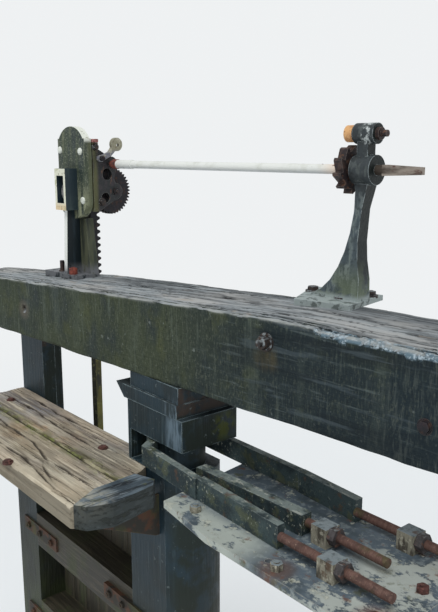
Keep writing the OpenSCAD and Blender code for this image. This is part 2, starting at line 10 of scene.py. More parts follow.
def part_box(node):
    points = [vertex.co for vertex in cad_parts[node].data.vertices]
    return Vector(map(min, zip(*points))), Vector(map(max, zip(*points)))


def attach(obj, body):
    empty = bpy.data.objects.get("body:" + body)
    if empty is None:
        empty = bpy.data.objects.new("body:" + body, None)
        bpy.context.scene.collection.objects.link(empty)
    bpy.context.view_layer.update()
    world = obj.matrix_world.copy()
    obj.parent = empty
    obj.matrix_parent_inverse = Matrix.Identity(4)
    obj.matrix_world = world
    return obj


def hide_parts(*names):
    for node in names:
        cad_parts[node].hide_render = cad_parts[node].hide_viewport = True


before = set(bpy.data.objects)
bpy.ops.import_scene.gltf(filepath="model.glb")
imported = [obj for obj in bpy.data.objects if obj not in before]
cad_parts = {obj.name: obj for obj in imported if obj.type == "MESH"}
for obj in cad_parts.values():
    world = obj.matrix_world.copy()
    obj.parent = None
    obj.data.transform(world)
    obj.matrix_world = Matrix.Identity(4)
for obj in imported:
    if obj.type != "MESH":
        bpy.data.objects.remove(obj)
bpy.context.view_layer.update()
leafDrift = math.radians(4.5)  # angle in plan between the leaf and its balance beam
leafToFrame = Matrix.Rotation(-leafDrift, 4, "Z")
coping = 3.0
boardTop = coping - 0.050  # top of the walkway boards
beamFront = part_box("balance_beam")[0].y
redBedSpots = [(1.427, -0.330), (1.427, -0.090)]  # bolts of the bed plate, along and across the leaf
paleBedSpots = [(0.522, -0.315), (1.030, -0.362)]
print("frame loaded:", len(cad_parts), "nodes")


# shader maths: a Wire is one output socket, and sums of wires add their nodes
class Wire:
    def __init__(self, tree, socket=None):
        self.tree = tree
        self.socket = socket

    def make(self, kind, settings=None, sockets=None, out=0):
        node = self.tree.nodes.new(kind)
        for name, value in (settings or {}).items():
            setattr(node, name, value)
        for key, value in (sockets or {}).items():
            target = node.inputs[key] if isinstance(key, int) else self.named(node.inputs, key)
            self.feed(target, value)
        shown = [socket for socket in node.outputs if socket.enabled]
        return Wire(self.tree, self.named(node.outputs, out) if isinstance(out, str) else shown[out])

    def named(self, sockets, name):
        return next(socket for socket in sockets if socket.name == name and socket.enabled)

    def feed(self, target, value):
        if isinstance(value, Wire):
            self.tree.links.new(value.socket, target)
        else:
            target.default_value = value

    def maths(self, operation, left, right):
        return self.make("ShaderNodeMath", {"operation": operation}, {0: left, 1: right})

    def __add__(self, other):
        return self.maths("ADD", self, other)

    __radd__ = __add__

    def __sub__(self, other):
        return self.maths("SUBTRACT", self, other)

    def __rsub__(self, other):
        return self.maths("SUBTRACT", other, self)

    def __mul__(self, other):
        return self.maths("MULTIPLY", self, other)

    __rmul__ = __mul__

    def between(self, low, high):  # 0 up to low, 1 from high, smooth in the middle
        sockets = {"Value": self, "From Min": low, "From Max": high}
        return self.make("ShaderNodeMapRange", {"interpolation_type": "SMOOTHSTEP"}, sockets)

    def vectors(self, operation, other, out=0):
        return self.make("ShaderNodeVectorMath", {"operation": operation}, {0: self, 1: other}, out)

    def along(self, direction):
        return self.vectors("DOT_PRODUCT", direction, "Value")

    def farFrom(self, place):
        return self.vectors("DISTANCE", place, "Value")

    def stretched(self, amounts):
        return self.vectors("MULTIPLY", amounts)

    def choose(self, under, over):  # mixes two colours by this mask
        return self.make("ShaderNodeMix", {"data_type": "RGBA"}, {"Factor": self, "A": under, "B": over})

    def level(self, under, over):  # mixes two numbers by this mask
        return self.make("ShaderNodeMix", {"data_type": "FLOAT"}, {"Factor": self, "A": under, "B": over})


def paint(code):
    # a colour as it looks on screen, made linear
    parts = [int(code[i:i + 2], 16) / 255 for i in (0, 2, 4)]
    return tuple(p / 12.92 if p < 0.04 else ((p + 0.055) / 1.055) ** 2.4 for p in parts) + (1.0,)


# masks: each gives a function that makes the mask's nodes from a place and a surface normal
def clouds(scale, stretch, low, high, detail=5, rough=0.6):
    def mask(place, normal):
        sockets = {"Vector": place.stretched(stretch), "Scale": scale, "Detail": detail, "Roughness": rough}
        return place.make("ShaderNodeTexNoise", {}, sockets).between(low, high)
    return mask


def spots(scale, low, high, detail=5, rough=0.6):  # clouds stretched no way
    return clouds(scale, (1, 1, 1), low, high, detail, rough)


def span(direction, low, high):
    return lambda place, normal: place.along(direction).between(low, high)


def facing(direction, low, high):
    return lambda place, normal: normal.along(direction).between(low, high)


def near(spot, reach):  # full within a third of its reach
    return lambda place, normal: place.farFrom(spot).between(reach, reach * 0.35)


def wornEdges(radius, low, high):
    def mask(place, normal):
        rounded = place.make("ShaderNodeBevel", {"samples": 4}, {"Radius": radius})
        true = place.make("ShaderNodeNewGeometry", {}, {}, "Normal")
        return 1 - rounded.along(true).between(low, high)
    return mask


def drawn(attribute):
    return lambda place, normal: place.make("ShaderNodeAttribute", {"attribute_name": attribute}, {}, "Fac")


def coat(colour, amount, *masks, **rest):
    # a colour laid on where all its masks meet, with any roughness, metal or height it brings
    return dict(rest, colour=colour, amount=amount, masks=masks)


def lift(height, *masks):
    # relief with no colour of its own
    return {"amount": 1, "height": height, "masks": masks}


def agedFinish(name, base, rough, coats, metal=0.0, shine=0.5, turn=0.0):
    # a base colour with its coats laid over it in order
    material = bpy.data.materials.new(name)
    material.use_nodes = True
    tree = material.node_tree
    shader = tree.nodes["Principled BSDF"]
    start = Wire(tree)
    place = start.make("ShaderNodeTexCoord", {}, {}, "Object")
    normal = start.make("ShaderNodeTexCoord", {}, {}, "Normal")
    if turn:
        place = place.make("ShaderNodeMapping", {}, {"Vector": place, "Rotation": (0, 0, turn)})
        normal = normal.make("ShaderNodeMapping", {}, {"Vector": normal, "Rotation": (0, 0, turn)})
    colour = paint(base)
    height = 0.0
    for layer in coats:
        share = layer["amount"]
        for mask in layer["masks"]:
            share = share * mask(place, normal)
        if "colour" in layer:
            colour = share.choose(colour, paint(layer["colour"]))
        if "rough" in layer:
            rough = share.level(rough, layer["rough"])
        if "metal" in layer:
            metal = share.level(metal, layer["metal"])
        if "height" in layer:
            height = share * layer["height"] + height
    if isinstance(height, Wire):
        bump = start.make("ShaderNodeBump", {}, {"Height": height, "Distance": 1.0, "Strength": 1.0})
        start.feed(shader.inputs["Normal"], bump)
    shader.inputs["Specular IOR Level"].default_value = shine
    start.feed(shader.inputs["Base Color"], colour)
    start.feed(shader.inputs["Roughness"], rough)
    start.feed(shader.inputs["Metallic"], metal)
    return material


def leafFinish(name, base, **look):
    # its grain and spots follow the leaf, which stands at an angle to the beam
    return agedFinish(name, base, turn=leafDrift, **look)


up = (0, 0, 1)
down = (0, 0, -1)
toFront = (0, -1, 0)
toRear = (0, 1, 0)
toHandle = (1, 0, 0)
onTop = facing(up, 0.5, 0.8)
onFront = facing(toFront, 0.4, 0.8)
onHandleSide = facing(toHandle, 0.5, 0.8)

tarredBeam = agedFinish("tarredBeam", "1e2a2e", rough=0.6, shine=0.2, coats=[
    coat("2d362f", 0.85, clouds(2.3, (0.5, 1, 0.9), 0.42, 0.62), rough=0.7),
    coat("444b37", 0.75, clouds(1.7, (0.7, 1, 0.8), 0.34, 0.54), span(toHandle, 0.95, -0.1), rough=0.85),
    coat("1c292d", 0.75, clouds(5, (0.8, 1, 0.35), 0.5, 0.66), rough=0.5),
    coat("4c5134", 0.6, clouds(7, (0.8, 1, 0.5), 0.53, 0.68), rough=0.85),
    coat("5f6a60", 0.3, clouds(11, (1, 1, 0.03), 0.5, 0.66), spots(3, 0.4, 0.6), rough=0.7),
    coat("727d72", 0.32, clouds(90, (1, 1, 0.05), 0.52, 0.7), spots(4, 0.35, 0.6), rough=0.7),
    coat("1b2526", 0.45, clouds(70, (1, 1, 0.06), 0.55, 0.7)),
    coat("7f8c8b", 0.3, clouds(60, (0.06, 1, 1), 0.6, 0.68), span(toHandle, 0.1, 0.6), height=-0.0004),
    lift(0.0012, clouds(110, (0.1, 1, 1), 0.35, 0.75)),
    coat("6a7060", 0.35, clouds(150, (1, 1, 0.4), 0.52, 0.66)),
    coat("0e1517", 0.5, clouds(120, (1, 1, 0.3), 0.54, 0.66)),
    coat("a3aca7", 0.25, spots(34, 0.67, 0.71)),
    coat("10191e", 0.6, span(toHandle, 0.2, 0.8), clouds(12, (0.1, 1, 1), 0.47, 0.6)),
    coat("66737a", 0.3, span(toHandle, 0.2, 0.8), clouds(26, (0.08, 1, 1), 0.55, 0.64), height=-0.0004),
    coat("16232a", 0.3, near((0.86, beamFront, 3.6), 0.45)),
    coat("737a72", 0.32, span(toHandle, 1.05, 1.4), clouds(110, (1, 1, 0.15), 0.5, 0.64)),
    coat("18262e", 0.55, span(toHandle, 1.0, 1.5), spots(3, 0.36, 0.56)),
    coat("5b5136", 0.5, near((0.681, beamFront, 3.63), 0.08), clouds(30, (1, 1, 0.2), 0.3, 0.6)),
    coat("6a6159", 0.5, near((-1.101, beamFront, 3.54), 0.07)),
    coat("959b9e", 1, onTop, rough=0.85),
    coat("b0afac", 0.8, onTop, clouds(2.6, (0.5, 1, 1), 0.45, 0.6)),
    coat("74797c", 0.75, onTop, clouds(4.4, (0.35, 1, 1), 0.52, 0.68)),
    coat("585d60", 0.7, onTop, clouds(38, (0.05, 1, 1), 0.53, 0.63), height=-0.003),
    coat("c4c5c3", 0.55, onTop, clouds(85, (0.07, 1, 1), 0.55, 0.7), height=0.001),
    coat("a19383", 0.5, onTop, clouds(12, (0.5, 1, 1), 0.62, 0.7)),
    coat("4b4f52", 0.8, onTop, span(toRear, 0.0, 0.26), clouds(7, (0.3, 1, 1), 0.36, 0.54)),
    coat("3c3f42", 0.65, onTop, clouds(14, (0.25, 1, 1), 0.56, 0.64)),
    coat("5f7480", 1, drawn("chamfer"), spots(30, 0.4, 0.6), rough=0.6),
    coat("a3b2bb", 1, drawn("chamfer"), spots(85, 0.5, 0.62), rough=0.7),
    coat("a2a5a2", 0.85, drawn("worn"), clouds(26, (0.35, 1, 1), 0.4, 0.56), rough=0.85),
    # painted shade with dirt: the cracks are laid near-black
    coat("1b1c1d", 1, drawn("crack"), rough=0.95),
    # painted shade: the peg hole is laid near-black
    coat("0c0a09", 1, drawn("hole"), rough=0.95),
])

boardWood = leafFinish("boardWood", "c4baa5", rough=0.85, coats=[
    coat("978d78", 0.8, clouds(3, (0.5, 1, 1), 0.45, 0.6)),
    coat("787c88", 0.8, near((-1.25, -0.17, boardTop), 0.45), clouds(6, (0.4, 1, 1), 0.4, 0.54)),
    coat("8b8d88", 0.75, near((-0.30, -0.30, boardTop), 0.30), clouds(6, (0.4, 1, 1), 0.42, 0.56)),
    coat("bd966f", 0.8, near((-0.75, -0.24, boardTop), 0.34), clouds(7, (0.4, 1, 1), 0.44, 0.6)),
    coat("a1988e", 0.7, clouds(2.2, (0.4, 1, 1), 0.5, 0.64)),
    coat("7d6f58", 0.5, clouds(6, (0.22, 1, 1), 0.48, 0.58)),
    coat("6e6869", 0.6, span(toRear, -0.36, -0.33), clouds(5, (0.3, 1, 1), 0.38, 0.54)),
    coat("c6b69e", 0.7, clouds(5, (0.3, 1, 1), 0.5, 0.66)),
    coat("5d5345", 0.65, clouds(34, (0.04, 1, 1), 0.52, 0.64), height=-0.003),
    coat("dcd2bb", 0.6, clouds(75, (0.05, 1, 1), 0.52, 0.66), height=0.0015),
    lift(0.0012, clouds(130, (0.3, 1, 1), 0.35, 0.75)),
    coat("6b5f45", 0.6, spots(40, 0.63, 0.7)),
    # painted shade with dirt: the cracks and the edges along the seam between the boards are laid dark
    coat("332b22", 0.92, drawn("crack"), rough=0.95),
    coat("5f5f36", 0.8, drawn("seam"), spots(14, 0.42, 0.55), rough=0.95, height=0.004),
    coat("7c8544", 0.7, drawn("seam"), spots(24, 0.55, 0.62), rough=0.95),
    coat("cfc6a4", 0.55, drawn("seam"), clouds(40, (0.1, 1, 1), 0.52, 0.6)),
    coat("5d5646", 0.7, facing(up, 0.3, 0.0)),
])

tarredPost = leafFinish("tarredPost", "1f333d", rough=0.55, shine=0.3, coats=[
    coat("1a2629", 0.8, spots(5, 0.42, 0.64)),
    coat("566a70", 0.4, clouds(50, (1, 1, 0.05), 0.52, 0.7), spots(5, 0.4, 0.6)),
    coat("3b413a", 0.5, spots(4, 0.58, 0.7), rough=0.85),
    coat("8297a6", 0.5, facing(toFront, 0.5, 0.8), span(toHandle, 0.100, 0.145), span(up, 3.36, 3.26),
         span(up, 3.04, 3.08), clouds(34, (1, 1, 0.2), 0.38, 0.58), rough=0.7),
    coat("463a32", 0.8, onHandleSide, span(up, 3.25, 3.27), spots(12, 0.38, 0.54), rough=0.8),
    coat("20281f", 0.8, onHandleSide, span(up, 3.27, 3.25), spots(9, 0.38, 0.54), rough=0.7),
    coat("565c22", 0.7, onHandleSide, near((0.235, 0.075, 3.18), 0.09), spots(22, 0.4, 0.56), rough=0.9),
    lift(0.0015, clouds(60, (1, 1, 0.08), 0.35, 0.75)),
    coat("353c3e", 0.8, onTop, span(up, 3.2, 3.3), rough=0.8),
    coat("93a5aa", 0.8, wornEdges(0.007, 0.85, 0.985), spots(14, 0.40, 0.54), rough=0.8),
    coat("8d9c9e", 0.3, spots(40, 0.65, 0.69)),
    coat("24251c", 0.8, span(up, 2.6, 1.9), rough=0.5),
    coat("3c4527", 0.8, span(up, 2.4, 1.2), clouds(4, (1, 1, 0.4), 0.45, 0.6)),
])

splitEnd = leafFinish("splitEnd", "64717a", rough=0.8, shine=0.3, coats=[
    coat("333e46", 0.85, clouds(9, (1, 0.4, 1), 0.44, 0.6)),
    coat("a3a296", 0.9, near((0.09, -0.56, coping), 0.17), spots(12, 0.3, 0.5)),
    coat("171c20", 0.8, clouds(44, (1, 0.08, 1), 0.52, 0.61), height=-0.004),
    coat("939fa7", 0.6, clouds(85, (1, 0.12, 1), 0.54, 0.64), height=0.001),
    coat("5d6248", 0.6, spots(16, 0.58, 0.66)),
    coat("2c302c", 0.85, facing(up, 0.3, 0.0)),
])


def wetFinish(name, grain):
    return leafFinish(name, "3a362b", rough=0.6, coats=[
        coat("25231c", 0.85, clouds(3, (0.4, 1, 1), 0.42, 0.62)),
        coat("575040", 0.6, clouds(40, grain, 0.45, 0.65), height=-0.002),
        coat("1d1b16", 0.5, clouds(90, grain, 0.5, 0.66), height=-0.001),
        coat("414b29", 0.8, clouds(5, (1, 1, 0.4), 0.46, 0.62), span(up, 2.9, 1.4), rough=0.8),
        coat("6d6656", 0.7, wornEdges(0.008, 0.85, 0.98), spots(20, 0.4, 0.6)),
    ])


wetRails = wetFinish("wetRails", (0.06, 1, 1))
wetBoards = wetFinish("wetBoards", (1, 1, 0.06))

lichenIron = leafFinish("lichenIron", "3f4e50", rough=0.65, metal=0.1, shine=0.35, coats=[
    coat("222d31", 0.75, spots(8, 0.42, 0.6)),
    coat("5d6248", 0.55, spots(14, 0.52, 0.62), rough=0.9, height=0.001),
    coat("7d8885", 0.85, onTop, clouds(13, (0.6, 1, 1), 0.4, 0.56)),
    coat("a9ada4", 0.7, onTop, clouds(34, (0.5, 1, 1), 0.55, 0.64)),
    coat("7f898a", 0.75, wornEdges(0.005, 0.85, 0.985), spots(20, 0.44, 0.58)),
    coat("7d846f", 0.5, spots(90, 0.54, 0.66), spots(6, 0.42, 0.56), height=0.0006),
    coat("12191a", 0.4, spots(110, 0.56, 0.66)),
    coat("b3b8ac", 0.7, spots(60, 0.6, 0.65), spots(9, 0.48, 0.58), height=0.001),
    coat("5c4536", 0.6, spots(15, 0.6, 0.68)),
    lift(0.0012, spots(60, 0.3, 0.8)),
])

flakedLug = leafFinish("flakedLug", "8d897a", rough=0.85, shine=0.3, coats=[
    coat("3f3a33", 0.85, clouds(34, (1, 1, 0.25), 0.46, 0.58), height=-0.001),
    coat("b9b6a5", 0.7, spots(60, 0.54, 0.64)),
    coat("7c878c", 0.9, onTop, rough=0.7),
    coat("505a5c", 0.7, onTop, spots(40, 0.5, 0.62)),
    coat("5a4434", 0.7, spots(18, 0.58, 0.66)),
    lift(0.0008, spots(100, 0.4, 0.7)),
])

darkNut = leafFinish("darkNut", "4f4a4b", rough=0.75, metal=0.1, shine=0.4, coats=[
    coat("33302f", 0.8, spots(40, 0.45, 0.6), height=-0.0008),
    coat("6f4e40", 0.7, spots(30, 0.54, 0.64)),
    coat("888c8b", 0.7, facing(up, 0.4, 0.9), spots(50, 0.45, 0.6)),
])

flakedPlate = leafFinish("flakedPlate", "56636d", rough=0.75, metal=0.05, coats=[
    coat("3f4a50", 0.75, spots(9, 0.45, 0.62, 8)),
    coat("8b9597", 0.6, spots(30, 0.5, 0.64, 8)),
    coat("b4bbb2", 0.85, span(toHandle, 1.0, 0.8), span(toRear, -0.22, -0.32),
         clouds(6, (0.8, 1, 1), 0.43, 0.47, 12, 0.72), rough=0.6, height=0.0012),
    coat("b6bcb4", 0.85, span(toHandle, 1.08, 1.26), clouds(6, (0.8, 1, 1), 0.475, 0.51, 12, 0.72),
         rough=0.6, height=0.0012),
    coat("bcbfb1", 0.75, spots(13, 0.57, 0.6, 12, 0.72), rough=0.65, height=0.0012),
    coat("6d4a39", 0.7, spots(14, 0.61, 0.67), rough=0.9),
    coat("56593b", 0.6, spots(11, 0.58, 0.66), rough=0.95, height=0.002),
    coat("6f4534", 0.6, near((*redBedSpots[0], coping), 0.10), rough=0.9),
    coat("654a3d", 0.6, near((*paleBedSpots[1], coping), 0.09), rough=0.9),
    coat("a9a89d", 0.7, wornEdges(0.006, 0.85, 0.98), spots(12, 0.4, 0.55)),
])

rustyRod = leafFinish("rustyRod", "6a4e45", rough=0.72, metal=0.15, coats=[
    coat("43302c", 0.75, spots(18, 0.42, 0.62)),
    coat("83665b", 0.5, spots(40, 0.5, 0.64), height=0.0006),
    coat("5c5a35", 0.6, spots(9, 0.55, 0.66)),
    coat("4a322b", 0.4, clouds(260, (1, 0.02, 0.02), 0.42, 0.6), height=-0.0012),
    coat("a58e7c", 0.5, spots(120, 0.62, 0.68)),
])

rustyBolt = agedFinish("rustyBolt", "5c3934", rough=0.8, metal=0.1, coats=[
    coat("37241d", 0.85, spots(60, 0.42, 0.62), height=-0.0008),
    coat("8a5f52", 0.6, spots(90, 0.54, 0.66)),
])

redBolt = agedFinish("redBolt", "8a4133", rough=0.8, coats=[
    coat("552c26", 0.8, spots(60, 0.42, 0.62), height=-0.0008),
    coat("b2705a", 0.6, spots(110, 0.56, 0.66)),
])

pinkRust = agedFinish("pinkRust", "9a6460", rough=0.8, coats=[
    coat("6b3f3c", 0.8, spots(40, 0.45, 0.6), height=-0.0008),
    coat("c09a94", 0.8, spots(70, 0.56, 0.64)),
])

darkBolt = agedFinish("darkBolt", "2f2b2b", rough=0.6, metal=0.3, coats=[
    coat("4a3a30", 0.7, spots(70, 0.45, 0.62), height=-0.0006),
    # painted highlight: faces turned up and to the front are laid pale blue-grey in spots
    coat("9aa3a6", 0.6, facing(up, 0.3, 0.9), spots(50, 0.4, 0.6)),
    coat("a7b1b5", 0.6, facing(toFront, 0.7, 0.95), spots(60, 0.5, 0.6)),
])

whiteBolt = agedFinish("whiteBolt", "dfe3da", rough=0.55, coats=[
    coat("9aa08f", 0.6, spots(70, 0.52, 0.64)),
    coat("5c4a38", 0.6, spots(120, 0.6, 0.68), height=-0.0005),
])

platePaint = agedFinish("platePaint", "25332f", rough=0.5, coats=[
    coat("48523f", 0.8, clouds(16, (1, 1, 0.18), 0.42, 0.62), rough=0.8),
    coat("7d8068", 0.6, clouds(60, (1, 1, 0.06), 0.5, 0.66), spots(9, 0.4, 0.6), rough=0.8),
    coat("17262a", 0.6, clouds(22, (1, 1, 0.1), 0.55, 0.7)),
    coat("8d9175", 0.85, span(up, 4.26, 4.12), clouds(30, (1, 1, 0.1), 0.34, 0.54), rough=0.85),
    coat("8c917c", 0.5, spots(110, 0.54, 0.62)),
    coat("101a1c", 0.5, spots(90, 0.56, 0.64)),
    coat("5b6047", 0.8, facing(toHandle, 0.4, 0.8), clouds(20, (1, 1, 0.12), 0.4, 0.58), rough=0.85),
    coat("8d9784", 0.7, wornEdges(0.006, 0.85, 0.98), spots(30, 0.44, 0.6)),
    coat("e4e7dc", 1, facing(toFront, 0.6, 0.3), facing(toRear, 0.6, 0.3), span(up, 4.43, 4.452),
         rough=0.5),
    coat("8a8672", 0.7, facing(toFront, 0.6, 0.3), span(up, 4.43, 4.452), spots(60, 0.58, 0.66)),
    lift(0.0008, spots(90, 0.3, 0.8)),
])

boxPaint = agedFinish("boxPaint", "1f3038", rough=0.5, coats=[
    coat("3a4a48", 0.6, clouds(30, (1, 1, 0.2), 0.5, 0.66)),
    coat("dfe0cd", 1, onFront, rough=0.55),
    coat("dcc39a", 0.9, onFront, span(up, 4.13, 4.09)),
    coat("aeb08a", 0.75, onFront, spots(26, 0.52, 0.62)),
    coat("6b6046", 0.7, onFront, spots(60, 0.6, 0.66), height=-0.0008),
])

columnPaint = agedFinish("columnPaint", "141f24", rough=0.45, shine=0.3, coats=[
    coat("2b3a42", 0.6, clouds(26, (1, 1, 0.12), 0.5, 0.68)),
    coat("595c48", 0.85, span(toRear, 0.136, 0.141), clouds(20, (1, 1, 0.12), 0.3, 0.6), rough=0.8),
    coat("858a74", 0.6, wornEdges(0.005, 0.85, 0.98), spots(30, 0.35, 0.6)),
    coat("e9ebe6", 1, onFront, span(toRear, 0.13, 0.11), span(up, 3.74, 3.75), rough=0.5),
    coat("74767a", 0.85, span(up, 3.80, 3.735), spots(30, 0.34, 0.5)),
])

gearIron = agedFinish("gearIron", "1b1a1f", rough=0.5, metal=0.35, coats=[
    coat("2c242a", 0.75, spots(24, 0.46, 0.62)),
    coat("54392c", 0.6, spots(40, 0.55, 0.66), rough=0.8),
    coat("68645f", 0.45, wornEdges(0.004, 0.85, 0.985), spots(40, 0.35, 0.55), rough=0.4),
    lift(0.0008, spots(80, 0.3, 0.8)),
])

bracketPaint = agedFinish("bracketPaint", "25282a", rough=0.55, metal=0.1, coats=[
    coat("3b3338", 0.7, spots(24, 0.46, 0.62)),
    coat("5f603f", 0.85, span(toRear, 0.2, 0.175), clouds(16, (1, 1, 0.15), 0.3, 0.55), rough=0.8),
    coat("6a4a3a", 0.6, clouds(46, (1, 1, 0.4), 0.57, 0.66)),
    coat("84867f", 0.7, wornEdges(0.005, 0.85, 0.98), spots(36, 0.35, 0.58)),
    lift(0.0008, spots(80, 0.3, 0.8)),
])

rollerIron = agedFinish("rollerIron", "a9a9aa", rough=0.42, metal=0.1, coats=[
    coat("b2b1ad", 0.6, clouds(120, (1, 0.03, 0.03), 0.45, 0.6), rough=0.3),
    coat("4a3529", 0.6, spots(50, 0.54, 0.66), rough=0.8),
])

spindlePaint = agedFinish("spindlePaint", "e4e6e1", rough=0.5, coats=[
    coat("cfd1c8", 0.7, spots(9, 0.5, 0.66)),
    # painted shade: the underside of the white spindle is laid in bluish grey
    coat("b4bac0", 0.5, facing(down, 0.1, 0.9)),
    coat("e9cdb4", 0.8, span(toHandle, 0.56, 0.70)),
    coat("6b3b2c", 1, clouds(46, (0.7, 1, 1), 0.66, 0.68), span(toHandle, 0.42, 0.56), height=-0.0008),
    coat("7b4438", 1, span(toHandle, -0.795, -0.80), rough=0.8),
    coat("3f3436", 1, span(toHandle, -0.80, -0.805), spots(50, 0.48, 0.6)),
    coat("4d443c", 1, span(toHandle, 0.704, 0.708), rough=0.6, metal=0.5),
    coat("9a8f84", 1, span(toHandle, 0.882, 0.884), clouds(22, (0.3, 1, 1), 0.35, 0.6), rough=0.55,
         metal=0.3),
    coat("5a3b34", 1, span(toHandle, 0.882, 0.884), clouds(40, (0.3, 1, 1), 0.55, 0.66), rough=0.8),
])

ratchetIron = agedFinish("ratchetIron", "2c2426", rough=0.5, metal=0.3, coats=[
    coat("5b473f", 0.75, spots(26, 0.45, 0.62)),
    coat("7a563f", 0.6, spots(44, 0.56, 0.66), rough=0.8),
    coat("8a7d74", 0.6, wornEdges(0.004, 0.85, 0.985)),
])

pedestalPaint = agedFinish("pedestalPaint", "4a565c", rough=0.45, metal=0.1, shine=0.35, coats=[
    coat("2b373d", 0.75, clouds(9, (1, 1, 0.4), 0.48, 0.66)),
    coat("7d8885", 0.6, clouds(46, (1, 1, 0.2), 0.5, 0.64)),
    coat("353f43", 0.55, spots(22, 0.5, 0.6)),
    coat("8f9a98", 0.5, clouds(26, (1, 1, 0.5), 0.56, 0.64)),
    coat("232d30", 0.6, spots(90, 0.56, 0.64)),
    coat("2b2b2a", 0.6, span(up, 4.12, 4.30)),
    # painted shade: the pedestal's side towards the handle is laid near-black above its foot
    coat("121b1a", 0.94, facing(toHandle, 0.4, 0.7), span(up, 3.82, 3.94)),
    coat("6e7963", 0.75, span(up, 4.0, 3.82), spots(14, 0.4, 0.56), rough=0.8),
    coat("a2acab", 0.88, span(up, 3.83, 3.806), rough=0.7),
    coat("4f5654", 0.8, span(up, 3.83, 3.806), spots(26, 0.52, 0.6)),
    coat("b9c4c6", 0.8, wornEdges(0.005, 0.86, 0.985), spots(24, 0.42, 0.56)),
    coat("c9d0cf", 0.85, span(up, 4.415, 4.425), span(toHandle, 0.79, 0.80), span(toHandle, 0.84, 0.83),
         clouds(70, (1, 1, 0.5), 0.5, 0.58)),
    lift(0.001, spots(70, 0.3, 0.8)),
])

pawlPaint = agedFinish("pawlPaint", "ddaa72", rough=0.55, coats=[
    coat("b27a4e", 0.7, spots(30, 0.5, 0.64)),
    coat("7c4a2f", 0.7, spots(52, 0.58, 0.66), height=-0.0006),
])

catchPaint = agedFinish("catchPaint", "8b8873", rough=0.6, coats=[
    coat("6f7280", 0.9, span(up, 4.405, 4.375)),
    coat("b6b2a0", 0.7, spots(40, 0.5, 0.62)),
    coat("5a3d30", 0.7, spots(60, 0.57, 0.66), height=-0.0006),
    coat("c4c2b6", 0.6, wornEdges(0.004, 0.85, 0.98)),
])

rodPaint = agedFinish("rodPaint", "2a2b20", rough=0.7, coats=[
    coat("77723a", 0.9, facing(toHandle, 0.4, 0.8), clouds(20, (1, 1, 0.3), 0.3, 0.6), rough=0.9),
    coat("8a8a58", 0.5, spots(46, 0.55, 0.66)),
    coat("7d7a4e", 0.6, wornEdges(0.004, 0.85, 0.98)),
])

drownedIron = agedFinish("drownedIron", "33302a", rough=0.75, metal=0.15, coats=[
    coat("5b3a28", 0.8, spots(14, 0.45, 0.6), height=0.001),
    coat("454b2a", 0.7, clouds(9, (1, 1, 0.5), 0.5, 0.62)),
    coat("7a6553", 0.6, wornEdges(0.005, 0.85, 0.98)),
])

finishes = [
    (tarredPost, ["heel_post", "heel_cap_slab", "heel_packing", "mitre_post"]),
    (splitEnd, ["walkway_end_piece"]),
    (wetRails, ["bottom_rail", "lower_rail", "middle_rail", "upper_rail", "top_rail"]),
    (wetBoards, ["sheathing", "paddle"]),
    (lichenIron, ["collar_strap", "strap_bars", "middle_channel"]),
    (flakedLug, ["tie_rod_lugs"]),
    (darkNut, ["tie_rod_nuts"]),
    (flakedPlate, ["bed_plate"]),
    (rustyRod, ["tie_rods"]),
    (drownedIron, ["pintle", "heel_pot", "rail_irons", "paddle_frame", "paddle_guides",
                   "walkway_brackets"]),
    (platePaint, ["gear_front_plate"]),
    (boxPaint, ["roller_box"]),
    (columnPaint, ["rack_column"]),
    (gearIron, ["gear_wheel", "gear_shaft", "spindle_pinion", "rack", "catch_pin"]),
    (bracketPaint, ["bearing_bracket", "gear_cheeks"]),
    (rollerIron, ["guide_roller"]),
    (spindlePaint, ["spindle"]),
    (ratchetIron, ["ratchet_wheel", "pawl_pin"]),
    (pedestalPaint, ["pedestal"]),
    (pawlPaint, ["pawl"]),
    (catchPaint, ["locking_catch"]),
    (rodPaint, ["paddle_rod"]),
]
for finish, nodes in finishes:
    for node in nodes:
        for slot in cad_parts[node].material_slots:
            slot.material = finish
print("finishes made:", len(bpy.data.materials))


creaseAngle = math.radians(38)


def settle(name, bm, finish, body, replaced=()):
    # turns a finished bmesh into a piece that rides on its body
    mesh = bpy.data.meshes.new(name)
    bm.to_mesh(mesh)
    bm.free()
    mesh.shade_smooth()
    mesh.set_sharp_from_angle(angle=creaseAngle)
    mesh.materials.append(finish)
    piece = bpy.data.objects.new(name, mesh)
    bpy.context.scene.collection.objects.link(piece)
    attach(piece, body)
    if replaced:
        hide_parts(*replaced)


def cutBlock(steps):
    # a unit block cut into even slices along each axis
    bm = bmesh.new()
    bmesh.ops.create_cube(bm, size=1.0)
    bmesh.ops.translate(bm, verts=bm.verts, vec=(0.5, 0.5, 0.5))
    for axis, count in enumerate(steps):
        lengthwise = [e for e in bm.edges if abs(e.verts[0].co[axis] - e.verts[1].co[axis]) > 0.5]
        bmesh.ops.subdivide_edges(bm, edges=lengthwise, cuts=count - 1, use_grid_fill=True)
    return bm


def between(value, low, high):
    return min(max((value - low) / (high - low), 0.0), 1.0)


def fading(distance, reach):
    return max(0.0, 1.0 - distance / reach)


def follow(points, at):
    # straight-line reading of a short list of (place, value)
    for (a, valueA), (b, valueB) in zip(points, points[1:]):
        if at <= b:
            return valueA + (valueB - valueA) * between(at, a, b)
    return points[-1][1]


def rumple(place, waves):
    # sum of waves of noise, each given as its height, its stretch and where it starts
    total = 0.0
    for height, stretch, start in waves:
        spot = [p * s + first for p, s, first in zip(place, stretch, start)]
        total += height * noise.noise(Vector(spot))
    return total


